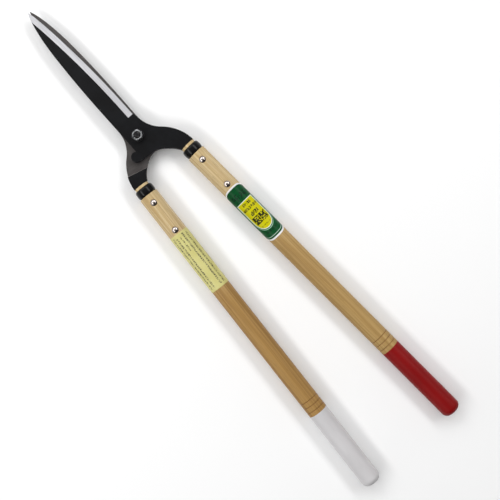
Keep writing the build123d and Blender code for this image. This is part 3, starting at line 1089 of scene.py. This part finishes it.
def handle_mesh(side):
    """Turned wood: neck, shoulder, grip with grooves, and the rounded end inside the dip coat."""
    core = grip_radius - coat_skin - core_gap
    end = handle_end - coat_skin - core_gap
    # Distances past the front of the neck and shoulder, or from a groove's middle, and how deep
    neck = ((0, 1.2), (0, neck_ease), (0.15, 0.13), (neck_ease, 0))
    shoulder = ((0, 0.7), (0.15, 0.35), (0.35, 0.12), (0.7, 0))
    half_groove = ((1.6, 0.0), (0.75, 0.02), (0.5, 0.2), (0.22, 0.6), (0.0, 0.7))
    rows = [(arm_end, 0)]
    rows += [(arm_end + past, neck_radius - deep) for past, deep in neck]
    rows += [(ferrule_start, neck_radius), (ferrule_end, neck_radius)]
    rows += [(ferrule_end + past, grip_radius - deep) for past, deep in shoulder]
    rows += [(s, grip_radius) for s in np.arange(ferrule_end + 1.2, rivets[1] + 8.0, 0.6)]
    rows += [(s, grip_radius) for s in np.arange(rivets[1] + 9.0, grooves[0] - 2.5, 4.0)]
    for groove in grooves:
        rows += [(groove - away, grip_radius - deep) for away, deep in half_groove]
        rows += [(groove + away, grip_radius - deep) for away, deep in half_groove[-2::-1]]
    rows += [(coat_start - 1.0, grip_radius), (coat_start, grip_radius - 0.02), (coat_start + 0.8, core)]
    rows += [(end - end_rounding, core)]
    rows += round_end(end, core, (15, 30, 45, 60, 75, 90))
    rows += [(end + end_dome * 0.8, 2.0), (end + end_dome, 0)]

    def reach(height, radius, turn):
        """Slight waves where the wood is bare and at its full radius."""
        if radius < grip_radius - 0.005 or height > coat_start - 1.5:
            return radius
        wave = np.sin(height * 0.021 + 2 * side) * np.cos(2 * turn + side) + np.sin(height * 0.047 + turn)
        return radius - 0.03 - 0.022 * (wave + 1)

    vertices, faces = lathe(rows, 144, reach)
    x, y, z = vertices.T
    for stop in rivets:
        far = np.hypot(x, z - stop)
        for way in (-1, 1):
            seat = seat_height + 0.03 + np.clip((far - 4.35) / 0.5, 0, 1) * 0.9
            high = (y * way > 0) & (far < 5.0)
            y = np.where(high & (np.abs(y) > seat), way * seat, y)
    vertices = np.column_stack([x, y, z])
    groove = np.zeros(len(vertices))
    for stop in grooves:
        groove = np.maximum(groove, np.clip(1.2 - np.abs(z - stop) / 0.75, 0, 1))
    return vertices, faces, groove


def ferrule_mesh():
    """Barrel ring with rolled ends. Returns its mesh and each vertex's wear."""
    low, high, outer = ferrule_start, ferrule_end, ferrule_radius
    inner = neck_radius + 0.05
    lip = 2.3
    depth = 3.2
    roll = [(depth * (1 - math.cos(t)), outer - lip + lip * math.sin(t) - 0.12)
            for t in np.radians((12, 30, 50, 70, 90))]
    rows = [(low, inner), (low, outer - lip)]
    rows += [(low + past, radius) for past, radius in roll]
    rows += [(low + 4.4, outer - 0.03), ((low + high) / 2, outer), (high - 4.4, outer - 0.03)]
    rows += [(high - past, radius) for past, radius in roll[::-1]]
    rows += [(high, outer - lip), (high, inner), (low, inner)]
    vertices, faces = lathe(rows, 120)
    from_middle = np.abs(vertices[:, 2] - (low + high) / 2)
    return vertices, faces, np.clip((from_middle - 4.0) / 1.2, 0, 1)


def coat_mesh(side):
    """Dip coat: a closed cup over the wood's end, with an uneven lip and faint runs."""
    inner = grip_radius - coat_skin
    end = handle_end
    # Distances past the lip and how far in, then past the end and the radius there
    lip_rows = ((0, 0.12), (0.25, 0), (1.0, 0), (2.2, 0.05))
    dome_rows = ((0.25, 4.6), (0.6, 3.2), (0.88, 1.6), (end_dome, 0))
    rows = [(coat_start, inner)]
    rows += [(coat_start + past, grip_radius - deep) for past, deep in lip_rows]
    rows += [(s, grip_radius - 0.03) for s in np.arange(coat_start + 6.0, end - end_rounding - 2.0, 5.0)]
    rows += round_end(end, grip_radius, (0, 8, 18, 28, 38, 48, 58, 68, 78, 86))
    rows += [(end + past, radius) for past, radius in dome_rows]
    inner_end = end - coat_skin
    rows += [(inner_end + end_dome, 0), (inner_end + end_dome * 0.8, 2.0)]
    rows += round_end(inner_end, inner, (90, 75, 60, 45, 30, 15))
    rows += [(inner_end - end_rounding, inner), (coat_start, inner)]

    def reach(height, radius, turn):
        """Faint runs on the coat's straight outside."""
        if radius <= inner or height < coat_start + 3.0 or height > end - end_rounding:
            return radius
        run = np.sin(3 * turn + side + height * 0.01) * np.sin(height * 0.06 + 2 * turn)
        return radius - 0.03 - 0.03 * run

    vertices, faces = lathe(rows, 120, reach)
    turn = np.arctan2(vertices[:, 1], vertices[:, 0])
    lip = np.clip(1 - (vertices[:, 2] - coat_start) / 3.0, 0, 1)
    vertices[:, 2] += lip * (0.16 + 0.10 * np.sin(2 * turn + side) + 0.06 * np.sin(5 * turn + 2 * side))
    return vertices, faces


def rivet_mesh():
    """Domed head, straight edge and shank down to the burr's face."""
    rim = seat_height + 0.5
    top = seat_height + rivet_head_height
    bottom = -seat_height - burr_thickness
    rise = top - rim
    dome = (rivet_head_radius**2 + rise**2) / (2 * rise)
    half = math.asin(rivet_head_radius / dome)
    rows = [(bottom, 0), (bottom, 1.2), (bottom + 0.05, 1.9), (bottom + 0.25, rivet_radius)]
    rows += [(seat_height, rivet_radius), (seat_height, rivet_head_radius - 0.15)]
    rows += [(seat_height + 0.12, rivet_head_radius), (rim - 0.05, rivet_head_radius)]
    for t in np.linspace(half * 0.98, half * 0.08, 14):
        rows.append((top - dome + dome * math.cos(t), dome * math.sin(t)))
    rows += [(top, 0)]
    return lathe(rows, 72)


def burr_mesh():
    """Ring that the rivet's shank comes through, under the wood."""
    low = -seat_height - burr_thickness
    return lathe(turned_rim(low, -seat_height, rivet_radius + 0.05, rivet_head_radius, burr_rounding), 72)


def label_mesh(start, end, half_angle, drop):
    """Curved sheet with thickness, its ends falling back by drop(height above the handle's axis).

    Returns its mesh and, for each vertex, its place across and along, and its distances from both ends."""
    angles = np.linspace(-half_angle, half_angle, 97)
    section = [(label_outside, angle) for angle in angles]
    section += [(label_inside, angle) for angle in angles[::-1]]
    count = len(section)
    vertices = []
    prints = []
    ends = []
    for share in np.linspace(0, 1, 121):
        for radius, angle in section:
            fall = drop(radius * math.cos(angle))
            low, high = start + fall, end - fall
            along = low + (high - low) * share
            vertices.append((radius * math.sin(angle), radius * math.cos(angle), along))
            prints.append((label_outside * angle, along))
            ends.append((along - low, high - along))
    loops = [range(k, k + count) for k in range(0, len(vertices), count)]
    faces = []
    for low, high in zip(loops, loops[1:]):
        faces += strip(high, low)
    for loop, step in ((loops[0], 1), (loops[-1], -1)):
        for k in range(len(angles) - 1):
            faces.append((loop[k], loop[k + 1], loop[-k - 2], loop[-k - 1])[::step])
    return np.array(vertices), faces, np.array(prints), np.array(ends)


def add_label(name, node, side, sheet, look):
    """Makes the sheet with a UV layer for its print and one for the distances from its ends."""
    vertices, faces, prints, ends = sheet
    place = handle_matrix(side)
    piece = make_piece(name, (vertices, faces), (look,), half_name(side), node, 40.0, None, place)
    corners = np.zeros(len(piece.data.loops), np.int32)
    piece.data.loops.foreach_get("vertex_index", corners)
    for layer, values in (("print", prints), ("ends", ends)):
        uv = piece.data.uv_layers.new(name=layer)
        uv.data.foreach_set("uv", values[corners].astype(np.float32).ravel())


def wrap_drop(height):
    """How far the wrap label's rounded ends fall back at a height above the handle's axis."""
    return 7.0 - 0.9604 * height + 0.03293 * height**2


def add_rivets(colour, side, nickel):
    start, way = handle_axis(side)
    for end, stop in zip(("front", "rear"), rivets):
        place = Matrix.Translation((start + way * stop) * MM)
        for part, prefix, shape in (("rivet", "domed", rivet_mesh()), ("burr", "ring", burr_mesh())):
            name = "_".join((prefix, part, colour, end))
            node = "_".join((colour, part, end))
            make_piece(name, shape, (nickel,), half_name(side), node, 30.0, None, place)


def add_handles():
    """Both handles with their ferrules, dip coats, rivets and labels."""
    black = ferrule_black()
    nickel = rivet_nickel()
    red_brown = ((178, 146, 90), (150, 116, 66), (144, 109, 60), (192, 160, 104))
    white_brown = ((166, 129, 72), (137, 101, 53), (131, 95, 48), (180, 143, 83))
    red_oak = wood("oak_red_side", 3.7, (0.021, 0.030), red_brown)
    red_paint = dipped("red_paint", (134, 8, 9), (126, 4, 5), 0.46)
    white_oak = wood("oak_white_side", 8.2, (-0.016, 0.034), white_brown)
    white_paint = dipped("white_paint", (198, 196, 197), (205, 203, 204), 0.46)
    for colour, side, oak, paint in (("red", 1, red_oak, red_paint), ("white", -1, white_oak, white_paint)):
        body = half_name(side)
        place = handle_matrix(side)
        *handle, groove = handle_mesh(side)
        *ferrule, wear = ferrule_mesh()
        for prefix, part, shape, look, slot, sharp, layers in (
            ("turned_", "handle", handle, oak, "wood", 40.0, {"groove": groove}),
            ("barrel_", "ferrule", ferrule, black, "ferrule_black", 50.0, {"wear": wear}),
            ("dipped_", "coat", coat_mesh(side), paint, colour + "_coat", 40.0, None),
        ):
            name = prefix + part + "_" + colour
            make_piece(name, shape, (look,), body, colour + "_" + part, sharp, layers, place)
        add_rivets(colour, side, nickel)
    wrap = label_mesh(wrap_start, wrap_end, wrap_angle, wrap_drop)
    add_label("wrap_sleeve", "wrap_label", 1, wrap, wrap_print())
    paper = label_mesh(paper_start, paper_end, paper_angle, lambda height: 0.0)
    add_label("paper_sleeve", "paper_label", -1, paper, paper_print())


# ---- stage

def add_camera():
    """Looks straight down from over the foot, shifted so that the picture's middle is over the centre."""
    height = 1.2                     # metres above the sliding faces
    foot = (0.0130, -0.160)
    centre = (0.00995, -0.2002)
    frame_width = 0.627              # metres across the picture at the sliding faces
    turn = math.radians(-41.55)
    data = bpy.data.cameras.new("camera")
    data.sensor_width = 36.0
    data.lens = 36.0 * height / frame_width
    data.clip_end = 20.0
    right = (math.cos(turn), math.sin(turn))
    up = (-math.sin(turn), math.cos(turn))
    offset = (centre[0] - foot[0], centre[1] - foot[1])
    data.shift_x = (offset[0] * right[0] + offset[1] * right[1]) / frame_width
    data.shift_y = (offset[0] * up[0] + offset[1] * up[1]) / frame_width
    camera = bpy.data.objects.new("camera", data)
    bpy.context.scene.collection.objects.link(camera)
    camera.location = (foot[0], foot[1], mid_z * MM + height)
    camera.rotation_euler = (0.0, 0.0, turn)
    bpy.context.scene.camera = camera


def add_softbox(name, place, target, size, power):
    """A white panel that faces the target, its second size along Y as near as it can."""
    light = bpy.data.lights.new(name, "AREA")
    light.shape = "RECTANGLE"
    light.size, light.size_y = size
    light.energy = power
    holder = bpy.data.objects.new(name, light)
    bpy.context.scene.collection.objects.link(holder)
    holder.location = place
    away = (Vector(place) - Vector(target)).normalized()
    level = Vector((0, 1, 0))
    across = level.cross(away).normalized()
    holder.rotation_euler = Matrix((across, away.cross(across), away)).transposed().to_euler()
    holder.visible_camera = False


def add_floor():
    size = 6.0
    mesh = bpy.data.meshes.new("floor")
    corners = [(-size, -size, 0.0), (size, -size, 0.0), (size, size, 0.0), (-size, size, 0.0)]
    mesh.from_pydata(corners, [], [(0, 1, 2, 3)])
    mesh.materials.append(floor_paint())
    floor = bpy.data.objects.new("floor", mesh)
    bpy.context.scene.collection.objects.link(floor)


def add_world():
    """White studio, stronger towards the tips than towards the handles."""
    world = bpy.data.worlds.new("studio")
    world.use_nodes = True
    tree = world.node_tree
    background = tree.nodes["Background"]
    background.inputs["Color"].default_value = (1.0, 1.0, 1.0, 1.0)
    direction = tree.nodes.new("ShaderNodeTexCoord")
    parts = tree.nodes.new("ShaderNodeSeparateXYZ")
    tree.links.new(direction.outputs["Generated"], parts.inputs[0])
    ramp = tree.nodes.new("ShaderNodeMapRange")
    ramp.interpolation_type = "SMOOTHSTEP"
    for name, number in (("From Min", -0.55), ("From Max", 0.35), ("To Min", 0.06), ("To Max", 0.62)):
        ramp.inputs[name].default_value = number
    tree.links.new(parts.outputs["Y"], ramp.inputs["Value"])
    tree.links.new(ramp.outputs[0], background.inputs["Strength"])
    bpy.context.scene.world = world


def add_lights():
    """A long softbox over each side, and one beyond the tips."""
    middle = (0.0, -0.2, 0.0)
    reach = 1.7
    lean = math.radians(43.0)
    for name, side in (("softbox_right", 1), ("softbox_left", -1)):
        place = (side * reach * math.sin(lean), 0.0, reach * math.cos(lean))
        add_softbox(name, place, middle, (0.34, 1.9), 12.2)
    add_softbox("softbox_tips", (0.0, 1.25, 1.4), middle, (1.6, 0.8), 13.2)
    bpy.context.scene.view_settings.view_transform = "Standard"


add_camera()
add_floor()
add_world()
add_lights()
add_blades()
add_nut()
dark_steel = bolt_steel()
add_bolt(dark_steel)
add_washers(dark_steel)
add_handles()
